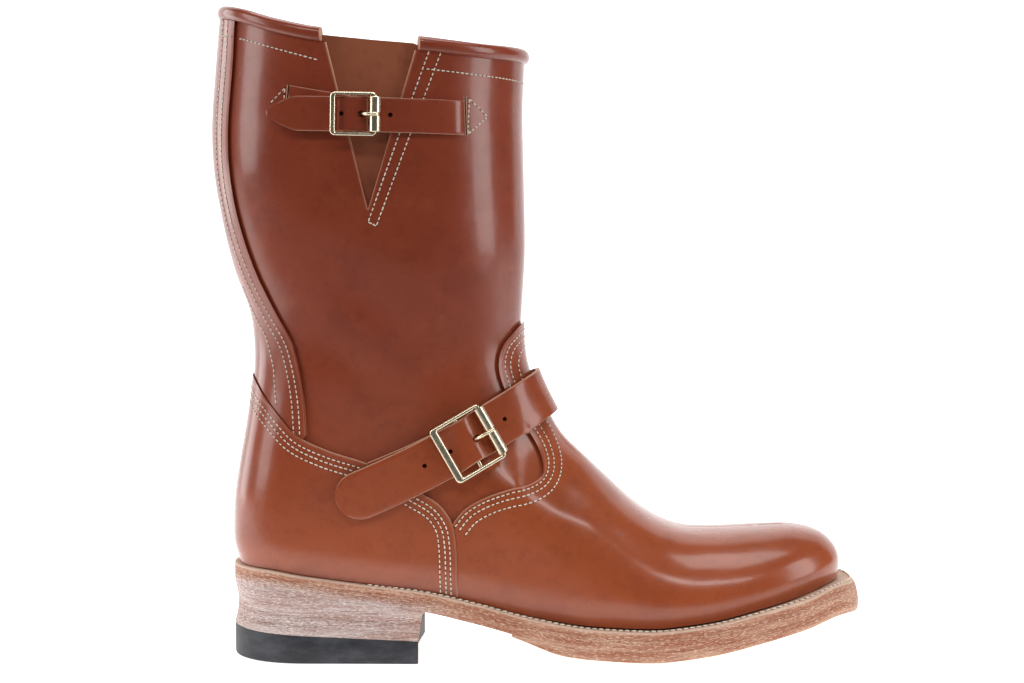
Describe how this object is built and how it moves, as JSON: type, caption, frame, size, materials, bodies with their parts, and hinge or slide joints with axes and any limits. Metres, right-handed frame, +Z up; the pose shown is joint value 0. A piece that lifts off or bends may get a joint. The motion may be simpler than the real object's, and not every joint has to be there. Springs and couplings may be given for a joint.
{
  "type": "engineer boot",
  "caption": "Right pull-on engineer boot with a tall shaft, a strap and buckle at the ankle and near the collar, and a stacked heel.",
  "frame": {"origin": "middle of the heel's flat face on the floor", "axes": "+Z up, +X towards the toe, +Y towards the inner side of the foot"},
  "size_m": [0.3239, 0.117, 0.3201],
  "materials": {
    "glazed_leather": "glossy",
    "flesh_leather": "matte",
    "natural_sole_leather": "matte",
    "black_rubber": "matte",
    "polished_brass": "polished"
  },
  "bodies": {
    "root": {"upper": "glazed_leather", "counter": "glazed_leather", "vamp": "glazed_leather", "backstay": "glazed_leather", "gusset": "glazed_leather", "collar_bead": "glazed_leather", "ankle_strap": "glazed_leather", "ankle_chape": "glazed_leather", "top_strap": "glazed_leather", "top_chape": "glazed_leather", "welt": "natural_sole_leather", "heel_rand": "natural_sole_leather", "midsole": "natural_sole_leather", "half_sole": "natural_sole_leather", "heel_lift_1": "natural_sole_leather", "heel_lift_2": "natural_sole_leather", "heel_lift_3": "natural_sole_leather", "heel_lift_4": "natural_sole_leather", "insole": "flesh_leather", "top_lift": "black_rubber", "ankle_buckle": "polished_brass", "ankle_roller": "polished_brass", "ankle_prong": "polished_brass", "top_buckle": "polished_brass", "top_roller": "polished_brass", "top_prong": "polished_brass"}
  },
  "joints": []
}
